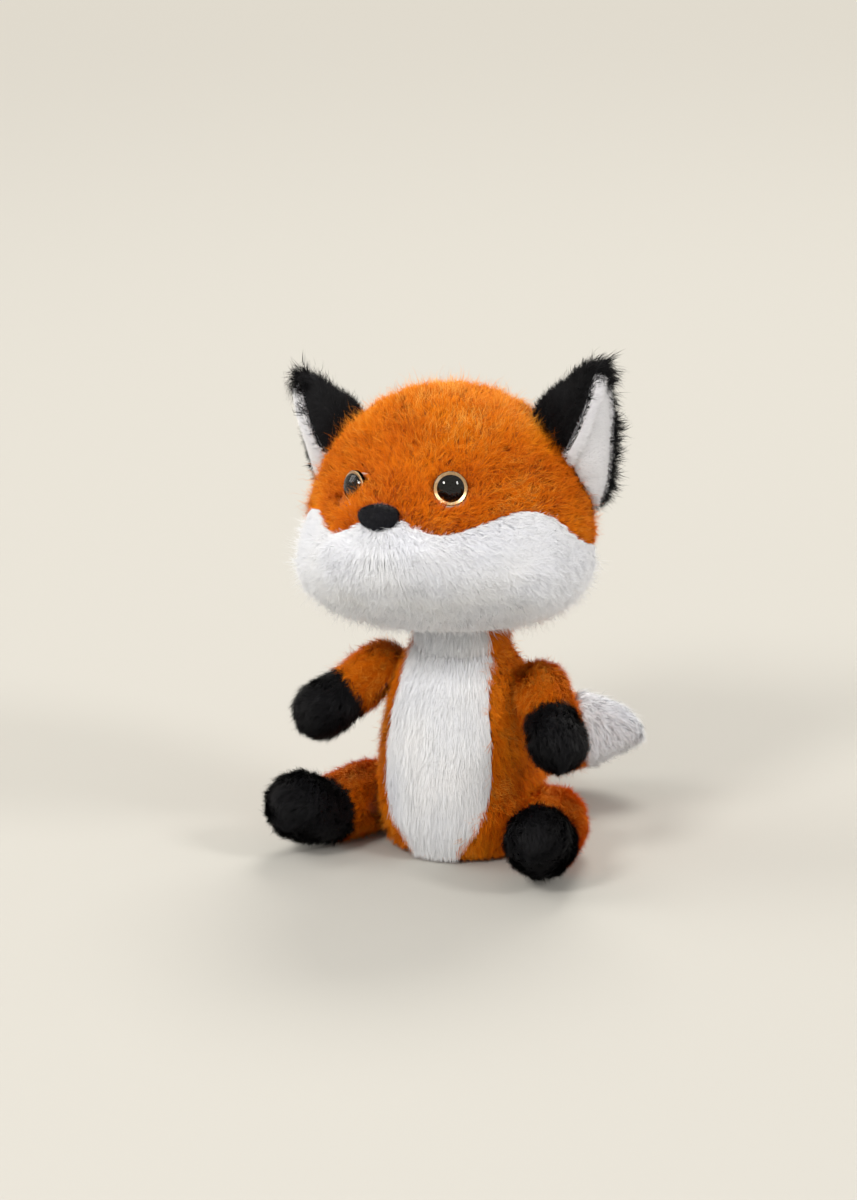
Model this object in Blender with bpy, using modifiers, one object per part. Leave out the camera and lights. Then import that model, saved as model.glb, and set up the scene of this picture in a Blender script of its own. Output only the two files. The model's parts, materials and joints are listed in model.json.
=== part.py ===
"""A seated plush fox, 24 cm tall, as separate fabric panels, stuffing, pellets and plastic eyes.

Metres, +Z up. The fox faces -Y and its left side is +X. The origin is the centre of the flat
seat that it rests on. Each panel is fabric with its combed-down pile, so its outer face is
where the fur looks dense, and single hairs stand a little further out.
"""

import math

import bmesh
import bpy
from mathutils import Matrix, Vector
from mathutils.bvhtree import BVHTree

# Fabric walls and clearances
LONG_PILE_WALL = 0.0060
SHORT_PILE_WALL = 0.0018
GAP = 0.0003
SEAT_CLEARANCE = 0.0006
OVERRUN = 0.0200
POINT_SPACING = 0.00001
SHARP_EDGE = math.radians(50)

# Head, in its own frame: origin at the middle of the head, nose towards -Y
HEAD_HALF_WIDTH = 0.0712
HEAD_FRONT = 0.0560
HEAD_BACK = 0.0570
HEAD_TOP = 0.0675
HEAD_BOTTOM = 0.0500
WIDEST_HEIGHT = -0.0060
JOWL_POWER = 2.7
HEAD_ABOVE_NECK = 0.0500
HEAD_AHEAD_OF_NECK = 0.0120
HEAD_PITCH = math.radians(12)
HEAD_ROLL = math.radians(6)
SNOUT_REACH = 0.0325
SNOUT_HALF_WIDTH = 0.0410
SNOUT_HALF_HEIGHT = 0.0265
SNOUT_DROP = 0.0115
BRIDGE_REACH = 0.0085
BRIDGE_HALF_WIDTH = 0.0150
BRIDGE_HALF_HEIGHT = 0.0150
BRIDGE_HEIGHT = 0.0220
CHEEK_REACH = 0.0080
CHEEK_SPREAD = 0.0520
CHEEK_HEIGHT = -0.0220
CHEEK_HALF_SIZE = 0.0200
HEAD_REACH = HEAD_FRONT + SNOUT_REACH + BRIDGE_REACH + OVERRUN
HEAD_SEGMENTS = 24
HEAD_RINGS = 12
FRONT_CROWDING_SHARE = 0.35

# Seam between the orange crown and the white muzzle: its heights at even turns from nose to back
SEAM_RISE = 0.0090
SEAM_HEIGHT_SHARES = (
    1.0, 0.35, -0.12, 0.15, 0.5, 0.87, 0.93, 0.45, -0.55, -0.92, -1.0, -1.15, -1.7, -3.1, -5.5
)
SEAM_BACK_TURN = math.radians(140)
SEAM_STEPS = 28
SEAM_CORE_RADIUS = 0.0050

# Eyes: a clear dome on a black backing with a shank, held by a lock washer behind the fabric
EYE_SPREAD = 0.0260
EYE_HEIGHT = 0.0192
EYE_YAW = math.radians(31)
EYE_LIFT = math.radians(-3)
EYE_RADIUS = 0.0080
EYE_DOME_HEIGHT = 0.0042
EYE_BACKING = 0.0014
EYE_SINK = 0.0042
EYE_SEGMENTS = 20
EYE_DOME_STEPS = 5
SHANK_RADIUS = 0.0022
SHANK_LENGTH = 0.0110
WASHER_RADIUS = 0.0065
WASHER_THICKNESS = 0.0016

# Nose: a small stuffed oval pad of short black plush
NOSE_HALF_WIDTH = 0.0098
NOSE_HALF_HEIGHT = 0.0066
NOSE_HALF_DEPTH = 0.0062
NOSE_FLARE = 0.18
NOSE_TOP_SHARE = 0.86
NOSE_HEIGHT = 0.0070
NOSE_SEGMENTS = 14
NOSE_RINGS = 8

# Ears, in the head's frame, given for the left ear; the right one's tip droops a little
EAR_INNER_FOOT = Vector((0.0455, -0.0030, 0.0535))
EAR_OUTER_FOOT = Vector((0.0680, 0.0140, 0.0095))
EAR_TIP = Vector((0.0785, -0.0010, 0.0765))
RIGHT_TIP_DROOP = Vector((-0.0020, 0, -0.0060))
EAR_BOW = 0.0030
EAR_RIDGE = 0.0110
EAR_RIDGE_POWER = 1.5
EAR_BACK_BULGE = 0.0050
EAR_ROOT_DEPTH = 0.0150
EAR_SWAY = math.radians(10)
EAR_SWAY_STEPS = 3
EAR_SEGMENTS = 14
EAR_RINGS = 12
EAR_WIDTH_SHARES = (0.0, 0.80, 1.0, 0.95, 0.79, 0.59, 0.37, 0.0)
EAR_RIDGE_SHARES = (0.0, 0.60, 0.80, 1.0, 1.0, 0.85, 0.55, 0.0)
EAR_LINING_END_SHARE = 0.88

# Neck: a firm ball of stuffing under a plush band, on which the head turns and nods
NECK_HEIGHT = 0.1080
NECK_RADIUS = 0.0220
NECK_WHITE_DEPTH = 0.0110
NECK_SEGMENTS = 16
NECK_RINGS = 9

# Torso: half width and height shares run from the neck down to the middle of the seat
TORSO_HEIGHT = 0.1100
TORSO_HALF_WIDTH = 0.0400
TORSO_HALF_DEPTH = 0.0390
TORSO_RADIUS_SHARES = (0.0, 0.40, 0.70, 0.88, 0.98, 1.0, 0.88, 0.50, 0.0)
TORSO_HEIGHT_SHARES = (1.0, 0.97, 0.85, 0.66, 0.44, 0.22, 0.04, -0.02, -0.02)
TORSO_SEGMENTS = 20
TORSO_RINGS = 11
BELLY_HALF_WIDTH = 0.0270
BELLY_LOW = 0.0060
BELLY_WIDTH_SHARES = (0.35, 0.82, 1.0, 0.98, 0.88, 0.76, 0.66, 0.60)
SEAT_RADIUS = 0.0270
SEAT_PANEL_THICKNESS = 0.0040
SEAT_SEGMENTS = 24
POUCH_RADIUS = 0.0210
POUCH_HEIGHT = 0.0220
POUCH_EDGE = 0.0050

# Limbs: each is pressed flat where it is sewn to the body's side
FACET_DEPTH = 0.0010
LIMB_SEGMENTS = 9
LIMB_RINGS = 9
ARM_RADIUS = 0.0135
ARM_LENGTH = 0.0540
ARM_TILT = math.radians(24)
ARM_SWING = math.radians(48)
ARM_SPLAY = math.radians(19)
ARM_HEIGHT = 0.0800
ARM_STAND_OFF = 0.0030
ARM_PAW_SHARE = 0.62
ARM_WIDTH_SHARES = (0.0, 0.86, 1.0, 0.98, 0.94, 1.0, 1.08, 1.0, 0.0)
LEG_RADIUS = 0.0165
LEG_LENGTH = 0.0760
LEG_TILT = math.radians(-8)
LEG_SPLAY = math.radians(16)
LEG_AHEAD = 0.0020
LEG_STAND_OFF = 0.0040
LEG_PAW_SHARE = 0.60
LEG_TOE_LIFT = math.radians(38)
LEG_WIDTH_SHARES = (0.0, 0.90, 1.0, 1.0, 0.95, 0.95, 1.04, 1.0, 0.0)

# Tail: it leaves the lower back and curls round towards the left hip
TAIL_ROOT_RADIUS = 0.0110
TAIL_ROOT_SINK = 0.0010
TAIL_ROOT_HEIGHT = 0.0200
TAIL_RADIUS = 0.0185
TAIL_LENGTH = 0.1080
TAIL_STRAIGHT = 0.0260
TAIL_CURL = math.radians(100)
TAIL_LIFT = math.radians(12)
TAIL_TIP_SHARE = 0.68
TAIL_SEGMENTS = 11
TAIL_RINGS = 14
TAIL_WIDTH_SHARES = (0.0, 0.55, 0.54, 0.70, 0.90, 1.0, 1.0, 0.84, 0.52, 0.0)

COLOURS = {
    "orange plush": (0.66, 0.16, 0.012, 1),
    "white plush": (0.76, 0.77, 0.79, 1),
    "black plush": (0.008, 0.008, 0.010, 1),
    "nose plush": (0.014, 0.014, 0.020, 1),
    "white lining": (0.72, 0.71, 0.70, 1),
    "clear plastic": (0.55, 0.38, 0.10, 1),
    "black plastic": (0.006, 0.006, 0.007, 1),
    "washer plastic": (0.80, 0.80, 0.78, 1),
    "stuffing": (0.83, 0.83, 0.81, 1),
    "pouch cloth": (0.62, 0.58, 0.50, 1),
}
SURFACES = {
    "orange plush": (0.90, 0),
    "white plush": (0.90, 0),
    "black plush": (0.85, 0),
    "nose plush": (0.80, 0),
    "white lining": (0.88, 0),
    "clear plastic": (0.06, 0),
    "black plastic": (0.15, 0),
    "washer plastic": (0.45, 0),
    "stuffing": (0.95, 0),
    "pouch cloth": (0.92, 0),
}


# Scene and objects
def fresh_collection(name):
    collection = bpy.data.collections.new(name)
    bpy.context.scene.collection.children.link(collection)
    return collection


def material(name, finish):
    made = bpy.data.materials.new(name)
    made.use_nodes = True
    shader = made.node_tree.nodes["Principled BSDF"]
    shader.inputs["Base Color"].default_value = COLOURS[finish]
    roughness, metallic = SURFACES[finish]
    shader.inputs["Roughness"].default_value = roughness
    shader.inputs["Metallic"].default_value = metallic
    return made


def add_object(name, form, finish, parent=None):
    """Make a part from a bmesh, shaded smooth except at real edges."""
    mesh = bpy.data.meshes.new(name)
    form.to_mesh(mesh)
    form.free()
    mesh.shade_smooth()
    mesh.set_sharp_from_angle(angle=SHARP_EDGE)
    made = bpy.data.objects.new(name, mesh)
    made.data.materials.append(material(name, finish))
    parts.objects.link(made)
    made.parent = parent
    return made


def add_cutter(name, form, parent=None):
    mesh = bpy.data.meshes.new(name)
    form.to_mesh(mesh)
    form.free()
    made = bpy.data.objects.new(name, mesh)
    made.hide_render = True
    made.display_type = "WIRE"
    cutters.objects.link(made)
    made.parent = parent
    return made


def add_joint(name, location, rotation=(0, 0, 0), parent=None):
    """An empty on a joint's axis, which carries the pieces that move there."""
    made = bpy.data.objects.new(name, None)
    made.location = location
    made.rotation_euler = rotation
    parts.objects.link(made)
    made.parent = parent
    return made


def cut(piece, *tools, solver="EXACT"):
    for tool in tools:
        step = piece.modifiers.new("cut " + tool.name, "BOOLEAN")
        step.operation = "DIFFERENCE"
        step.solver = solver
        step.object = tool


def keep(piece, tool, solver="EXACT"):
    step = piece.modifiers.new("keep " + tool.name, "BOOLEAN")
    step.operation = "INTERSECT"
    step.solver = solver
    step.object = tool


def thicken(piece, wall, offset=-1):
    step = piece.modifiers.new("wall", "SOLIDIFY")
    step.thickness = wall
    step.offset = offset


# Forms
def sphere_form(segments, rings, shape, side=1, depth=0, left_out=None):
    """A sphere whose unit vertices move to the places that shape gives, mirrored for side -1.

    It loses the faces that left_out picks on the unit sphere, and is then set in by a depth.
    """
    form = bmesh.new()
    bmesh.ops.create_uvsphere(form, u_segments=segments, v_segments=rings, radius=1)
    if left_out:
        unwanted = [face for face in form.faces if left_out(face.calc_center_median())]
        bmesh.ops.delete(form, geom=unwanted, context="FACES")
    for vertex in form.verts:
        place = shape(vertex.co.copy())
        vertex.co = Vector((place.x * side, place.y, place.z))
    if side < 0:
        bmesh.ops.reverse_faces(form, faces=form.faces)
    bmesh.ops.triangulate(form, faces=form.faces)
    form.normal_update()
    return inset(form, depth)


def inset(form, depth):
    """Move each vertex inwards along its normal."""
    places = [vertex.co - vertex.normal * depth for vertex in form.verts]
    for vertex, place in zip(form.verts, places):
        vertex.co = place
    form.normal_update()
    return form


def cylinder_form(radius, length, segments):
    """A cylinder along +Z that starts at the origin."""
    form = bmesh.new()
    bmesh.ops.create_cone(
        form, cap_ends=True, segments=segments, radius1=radius, radius2=radius, depth=length
    )
    bmesh.ops.translate(form, verts=form.verts, vec=(0, 0, length / 2))
    return form


def half_space(name, point, normal, parent=None):
    """A box cutter that fills the side of a plane that its normal points to."""
    size = (HEAD_HALF_WIDTH + TORSO_HEIGHT + TAIL_LENGTH + ARM_LENGTH) * 2
    form = bmesh.new()
    bmesh.ops.create_cube(form, size=size)
    bmesh.ops.translate(form, verts=form.verts, vec=(0, 0, size / 2))
    made = add_cutter(name, form, parent)
    made.rotation_mode = "QUATERNION"
    made.rotation_quaternion = Vector(normal).to_track_quat("Z", "Y")
    made.location = point
    return made


def prism(name, outline, near, far, parent=None):
    """A cutter of an XZ outline, from y = near to y = far."""
    form = bmesh.new()
    corners = [form.verts.new((x, near, z)) for x, z in outline]
    face = form.faces.new(corners)
    grown = bmesh.ops.extrude_face_region(form, geom=[face])
    moved = [item for item in grown["geom"] if isinstance(item, bmesh.types.BMVert)]
    bmesh.ops.translate(form, verts=moved, vec=(0, far - near, 0))
    bmesh.ops.recalc_face_normals(form, faces=form.faces)
    return add_cutter(name, form, parent)


def grown_outline(outline, margin):
    """Move each point of a counter-clockwise outline outwards by a margin."""
    grown = []
    for index, (x, z) in enumerate(outline):
        before = Vector(outline[index - 1])
        after = Vector(outline[(index + 1) % len(outline)])
        here = Vector((x, z))
        into = (here - before).normalized()
        out = (after - here).normalized()
        miter = Vector((into.y + out.y, -into.x - out.x)).normalized()
        stretch = margin / miter.dot(Vector((into.y, -into.x)))
        grown.append(tuple(here + miter * stretch))
    return grown


def along(stations, share):
    """Read a smooth curve through evenly spaced stations, which crosses zero at both ends."""
    spans = len(stations) - 1
    place = min(max(share, 0), 1) * spans
    first = min(int(place), spans - 1)
    rest = place - first
    inner = stations[first]
    outer = stations[first + 1]
    before = stations[first - 1] if first > 0 else None
    after = stations[first + 2] if first + 2 <= spans else None
    return inner, outer, before, after, rest


def smooth_radius(stations, share):
    inner, outer, before, after, rest = along(stations, share)
    before = -outer if before is None else before
    after = -inner if after is None else after
    return cubic(before, inner, outer, after, rest)


def smooth_height(stations, share):
    inner, outer, before, after, rest = along(stations, share)
    before = outer if before is None else before
    after = inner if after is None else after
    return cubic(before, inner, outer, after, rest)


def cubic(before, inner, outer, after, rest):
    slope_in = (outer - before) / 2
    slope_out = (after - inner) / 2
    square = rest * rest
    cube = square * rest
    return (
        (2 * cube - 3 * square + 1) * inner
        + (cube - 2 * square + rest) * slope_in
        + (3 * square - 2 * cube) * outer
        + (cube - square) * slope_out
    )


def polar_share(unit):
    """How far a unit vertex lies from the +Z pole, from 0 to 1."""
    return math.acos(min(max(unit.z, -1), 1)) / math.pi


def round_the_axis(unit):
    """The direction of a unit vertex round Z."""
    flat = Vector((unit.x, unit.y))
    return flat.normalized() if flat.length > 0 else Vector((0, 0))


# Head
def head_shape(unit):
    """A rounded head with full jowls, a broad snout and a narrow nose bridge."""
    angle = math.atan2(unit.x, -unit.y)
    angle -= FRONT_CROWDING_SHARE * math.sin(angle)
    level = math.hypot(unit.x, unit.y)
    if unit.z < 0:
        level = max(1 - abs(unit.z) ** JOWL_POWER, 0) ** (1 / JOWL_POWER)
    x = HEAD_HALF_WIDTH * level * math.sin(angle)
    ahead = level * math.cos(angle)
    y = -ahead * (HEAD_FRONT if ahead > 0 else HEAD_BACK)
    reach = HEAD_TOP - WIDEST_HEIGHT if unit.z > 0 else HEAD_BOTTOM + WIDEST_HEIGHT
    z = WIDEST_HEIGHT + unit.z * reach
    if ahead > 0:
        snout = (x / SNOUT_HALF_WIDTH) ** 4 + ((z + SNOUT_DROP) / SNOUT_HALF_HEIGHT) ** 4
        bridge = (x / BRIDGE_HALF_WIDTH) ** 2 + ((z - BRIDGE_HEIGHT) / BRIDGE_HALF_HEIGHT) ** 2
        fade = min(ahead * 2, 1)
        y -= (SNOUT_REACH * math.exp(-snout) + BRIDGE_REACH * math.exp(-bridge)) * fade
        cheek = (abs(x) - CHEEK_SPREAD) ** 2 + (z - CHEEK_HEIGHT) ** 2
        puff = CHEEK_REACH * math.exp(-cheek / CHEEK_HALF_SIZE**2) * fade
        x += puff * math.sin(angle)
        y -= puff * math.cos(angle)
    return Vector((x, y, z))


def head_form():
    return sphere_form(HEAD_SEGMENTS, HEAD_RINGS, head_shape)


def seam_edges():
    """The seam unrolled, as distance round the head and height: the white edge and the orange."""
    white = []
    for step in range(SEAM_STEPS, -SEAM_STEPS - 1, -1):
        share = abs(step) / SEAM_STEPS
        height = SEAM_RISE * smooth_height(SEAM_HEIGHT_SHARES, share)
        white.append((HEAD_HALF_WIDTH * SEAM_BACK_TURN * step / SEAM_STEPS, height))
    foot = -HEAD_BOTTOM - OVERRUN
    outline = white + [(white[-1][0], foot), (white[0][0], foot)]
    return white, grown_outline(outline, GAP)[: len(white)]


def curtain(name, edge, parent=None):
    """A cutter that fills the space under an edge that runs round the head."""
    form = bmesh.new()
    columns = []
    for distance, height in edge:
        turn = distance / HEAD_HALF_WIDTH
        corners = []
        for radius in (SEAM_CORE_RADIUS, HEAD_REACH):
            for level in (height, -HEAD_BOTTOM - OVERRUN):
                place = (radius * math.sin(turn), -radius * math.cos(turn), level)
                corners.append(form.verts.new(place))
        columns.append((corners[0], corners[1], corners[3], corners[2]))
    for here, after in zip(columns, columns[1:]):
        for index in range(4):
            following = (index + 1) % 4
            form.faces.new((here[index], here[following], after[following], after[index]))
    form.faces.new(columns[0])
    form.faces.new(columns[-1])
    bmesh.ops.triangulate(form, faces=form.faces, quad_method="FIXED")
    bmesh.ops.recalc_face_normals(form, faces=form.faces)
    return add_cutter(name, form, parent)


def surface_point(form, x, z):
    """Where a line along Y meets the front of a form."""
    start = Vector((x, -HEAD_REACH, z))
    place, _, _, _ = BVHTree.FromBMesh(form).ray_cast(start, Vector((0, 1, 0)))
    return place


def make_head(head):
    """The covers and the filling, cut by everything that is set into them."""
    white_edge, orange_edge = seam_edges()
    white_side = curtain("muzzle_side", white_edge, head)
    orange_side = curtain("crown_side", orange_edge, head)
    covers = []
    for name, finish in (("crown_cover", "orange plush"), ("muzzle_panel", "white plush")):
        skin = head_form()
        lowest = min(skin.verts, key=lambda vertex: vertex.co.z)
        bmesh.ops.delete(skin, geom=[lowest], context="VERTS")
        cover = add_object(name, skin, finish, head)
        thicken(cover, LONG_PILE_WALL)
        covers.append(cover)
    crown, muzzle = covers
    cut(crown, orange_side, solver="MANIFOLD")
    keep(muzzle, white_side, solver="MANIFOLD")
    filling = add_object(
        "head_filling", inset(head_form(), LONG_PILE_WALL + GAP), "stuffing", head
    )
    return crown, muzzle, filling


def make_nose(head, crown, muzzle, filling):
    form = head_form()
    place = surface_point(form, 0, NOSE_HEIGHT)
    form.free()

    def nose_shape(unit):
        """An oval that is flatter above and narrower below."""
        width = NOSE_HALF_WIDTH * (1 + NOSE_FLARE * unit.z)
        height = NOSE_HALF_HEIGHT * (NOSE_TOP_SHARE if unit.z > 0 else 1)
        return Vector((unit.x * width, unit.y * NOSE_HALF_DEPTH, unit.z * height))

    nose = add_object(
        "nose_pad", sphere_form(NOSE_SEGMENTS, NOSE_RINGS, nose_shape), "nose plush", head
    )
    pocket_form = inset(sphere_form(NOSE_SEGMENTS, NOSE_RINGS, nose_shape), -GAP)
    pocket = add_cutter("nose_pocket", pocket_form, head)
    for item in (nose, pocket):
        item.location = place
    for piece in (crown, muzzle, filling):
        cut(piece, pocket, solver="MANIFOLD")


def turned(name, profile, finish, parent):
    """Spin a closed profile of radius and height round Z."""
    mesh = bpy.data.meshes.new(name)
    closed = profile[0] == profile[-1]
    points = profile[:-1] if closed else profile
    edges = [(index, (index + 1) % len(points)) for index in range(len(profile) - 1)]
    mesh.from_pydata([(radius, 0, height) for radius, height in points], edges, [])
    made = bpy.data.objects.new(name, mesh)
    made.data.materials.append(material(name, finish))
    parts.objects.link(made)
    made.parent = parent
    spin = made.modifiers.new("turn", "SCREW")
    spin.steps = EYE_SEGMENTS
    spin.render_steps = EYE_SEGMENTS
    spin.use_merge_vertices = True
    spin.merge_threshold = POINT_SPACING
    spin.use_smooth_shade = True
    return made


def make_eye(head, crown, filling, side):
    """One safety eye, set into a pocket in the pile and locked behind the fabric."""
    word = "left" if side > 0 else "right"
    form = head_form()
    place = surface_point(form, EYE_SPREAD * side, EYE_HEIGHT)
    form.free()
    facing = Vector(
        (
            side * math.sin(EYE_YAW) * math.cos(EYE_LIFT),
            -math.cos(EYE_YAW) * math.cos(EYE_LIFT),
            math.sin(EYE_LIFT),
        )
    )
    seat = add_joint(word + "_eye_seat", place - facing * EYE_SINK, parent=head)
    seat.rotation_mode = "QUATERNION"
    seat.rotation_quaternion = facing.to_track_quat("Z", "Y")

    sphere = (EYE_RADIUS**2 + EYE_DOME_HEIGHT**2) / (2 * EYE_DOME_HEIGHT)
    half_angle = math.asin(EYE_RADIUS / sphere)
    base = EYE_BACKING + GAP
    dome = [(0, base + EYE_DOME_HEIGHT)]
    for step in range(1, EYE_DOME_STEPS + 1):
        angle = half_angle * step / EYE_DOME_STEPS
        drop = sphere * (1 - math.cos(angle))
        dome.append((sphere * math.sin(angle), base + EYE_DOME_HEIGHT - drop))
    dome.append((0, base))
    turned(word + "_eye_lens", dome, "clear plastic", seat)

    backing = [
        (0, EYE_BACKING),
        (EYE_RADIUS, EYE_BACKING),
        (EYE_RADIUS, 0),
        (SHANK_RADIUS, 0),
        (SHANK_RADIUS, -SHANK_LENGTH),
        (0, -SHANK_LENGTH),
    ]
    turned(word + "_eye_button", backing, "black plastic", seat)

    washer_top = EYE_SINK - LONG_PILE_WALL - 2 * SEAT_CLEARANCE
    bore = SHANK_RADIUS + GAP
    washer = [
        (bore, washer_top),
        (WASHER_RADIUS, washer_top),
        (WASHER_RADIUS, washer_top - WASHER_THICKNESS),
        (bore, washer_top - WASHER_THICKNESS),
        (bore, washer_top),
    ]
    turned(word + "_eye_washer", washer, "washer plastic", seat)

    pocket = add_cutter(
        word + "_eye_pocket",
        cylinder_form(EYE_RADIUS + GAP, OVERRUN, EYE_SEGMENTS),
        seat,
    )
    pocket.location.z = -GAP
    hole = add_cutter(
        word + "_shank_hole", cylinder_form(bore, OVERRUN, EYE_SEGMENTS), seat
    )
    hole.location.z = -OVERRUN
    bed_top = add_cutter(
        word + "_washer_bed",
        cylinder_form(WASHER_RADIUS + GAP, OVERRUN, EYE_SEGMENTS),
        seat,
    )
    bed_top.location.z = washer_top + GAP - OVERRUN
    bed = add_cutter(
        word + "_washer_room",
        cylinder_form(WASHER_RADIUS + GAP, WASHER_THICKNESS + OVERRUN, EYE_SEGMENTS),
        seat,
    )
    bed.location.z = washer_top - WASHER_THICKNESS - GAP
    cut(crown, pocket, hole, bed_top, solver="MANIFOLD")
    cut(filling, hole, bed, pocket, solver="MANIFOLD")


# Ears
def ear_frame(side):
    """An ear's axes as on the left: along its foot, up its height and out of its front."""
    along_foot = (EAR_OUTER_FOOT - EAR_INNER_FOOT).normalized()
    middle = (EAR_INNER_FOOT + EAR_OUTER_FOOT) / 2
    tip = EAR_TIP if side > 0 else EAR_TIP + RIGHT_TIP_DROOP
    to_tip = tip - middle
    lean = to_tip.dot(along_foot)
    upright = to_tip - along_foot * lean
    front = along_foot.cross(upright).normalized()
    return along_foot, upright.normalized(), front, lean, upright.length


def ear_shape(unit, side):
    """A leaf with a flat back and a soft ridge down its front, placed as on the left."""
    along_foot, upward, front, lean, height = ear_frame(side)
    half_foot = (EAR_OUTER_FOOT - EAR_INNER_FOOT).length / 2
    share = 1 - polar_share(unit)
    turn = round_the_axis(unit)
    width = half_foot * smooth_radius(EAR_WIDTH_SHARES, share)
    ridge = EAR_RIDGE * smooth_radius(EAR_RIDGE_SHARES, share)
    level = share * (height + EAR_ROOT_DEPTH) - EAR_ROOT_DEPTH
    sideways = width * turn.x + lean * level / height
    sideways += EAR_BOW * math.sin(math.pi * max(level, 0) / height)
    if turn.y < 0:
        outward = ridge * (1 - abs(turn.x) ** EAR_RIDGE_POWER)
    else:
        outward = -EAR_BACK_BULGE * turn.y * ridge / EAR_RIDGE
    return along_foot * sideways + upward * level + front * outward


def ear_form(side, depth=0, left_out=None):
    def shape(unit):
        return ear_shape(unit, side)

    return sphere_form(EAR_SEGMENTS, EAR_RINGS, shape, side, depth, left_out)


def make_ear(head, side):
    """One ear, whose foot follows the head through the whole sway."""
    word = "left" if side > 0 else "right"
    along_foot = ear_frame(side)[0]
    middle = (EAR_INNER_FOOT + EAR_OUTER_FOOT) / 2
    place = Vector((middle.x * side, middle.y, middle.z))
    axis = Vector((along_foot.x * side, along_foot.y, along_foot.z))
    joint = add_joint(word + "_ear_joint", place, parent=head)
    back = add_object(word + "_ear_back", ear_form(side), "black plush", joint)

    def off_the_lining(unit):
        """The lining covers the front's outer half, from below the foot to near the tip."""
        on_front = unit.y < 0 and unit.x > 0
        height_share = 1 - polar_share(unit)
        return not on_front or height_share > EAR_LINING_END_SHARE

    patch = ear_form(side, -GAP, off_the_lining)
    lining = add_object(word + "_ear_lining", patch, "white lining", joint)
    thicken(lining, SHORT_PILE_WALL, offset=1)

    for step in range(EAR_SWAY_STEPS):
        angle = EAR_SWAY * (2 * step / (EAR_SWAY_STEPS - 1) - 1)
        tool = add_cutter(
            "%s_ear_foot_%d" % (word, step), inset(head_form(), -GAP), head
        )
        about = Matrix.Translation(place) @ Matrix.Rotation(angle, 4, axis)
        tool.matrix_local = about @ Matrix.Translation(-place)
        cut(back, tool, solver="MANIFOLD")
        cut(lining, tool, solver="MANIFOLD")


# Neck
def neck_shape(radius):
    def shape(unit):
        return unit * radius

    return shape


def make_neck(turn, rooms):
    """A ball that stays in round seats, cut in the head's and the torso's pieces."""
    split = Vector((0, -NECK_WHITE_DEPTH, 0))
    ahead = Vector((0, -1, 0))
    for name, finish, tool in (
        ("neck_cover", "orange plush", half_space("neck_front_side", split, ahead, turn)),
        ("neck_front", "white plush", half_space("neck_back_side", split + ahead * GAP, -ahead, turn)),
    ):
        band = sphere_form(NECK_SEGMENTS, NECK_RINGS, neck_shape(NECK_RADIUS))
        poles = [vertex for vertex in band.verts if abs(vertex.co.z) > NECK_RADIUS - GAP]
        bmesh.ops.delete(band, geom=poles, context="VERTS")
        cover = add_object(name, band, finish, turn)
        thicken(cover, LONG_PILE_WALL)
        cut(cover, tool)
    inner = NECK_RADIUS - LONG_PILE_WALL - GAP
    core = sphere_form(NECK_SEGMENTS, NECK_RINGS, neck_shape(inner))
    add_object("neck_filling", core, "stuffing", turn)
    seat = add_cutter(
        "neck_seat",
        sphere_form(NECK_SEGMENTS, NECK_RINGS, neck_shape(NECK_RADIUS + SEAT_CLEARANCE)),
        turn,
    )
    for room in rooms:
        cut(room, seat, solver="MANIFOLD")


# Torso
def torso_shape(unit):
    share = polar_share(unit)
    turn = round_the_axis(unit)
    radius = smooth_radius(TORSO_RADIUS_SHARES, share)
    height = TORSO_HEIGHT * smooth_height(TORSO_HEIGHT_SHARES, share)
    return Vector(
        (turn.x * radius * TORSO_HALF_WIDTH, turn.y * radius * TORSO_HALF_DEPTH, height)
    )


def torso_form():
    return sphere_form(TORSO_SEGMENTS, TORSO_RINGS, torso_shape)


def belly_outline():
    """The white chest and belly, counter-clockwise in front view from its lowest point."""
    top = TORSO_HEIGHT + OVERRUN
    spans = len(BELLY_WIDTH_SHARES) - 1
    left = [
        (BELLY_HALF_WIDTH * share, BELLY_LOW + (top - BELLY_LOW) * index / spans)
        for index, share in enumerate(BELLY_WIDTH_SHARES)
    ]
    right = [(-x, z) for x, z in reversed(left)]
    return left + right


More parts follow.
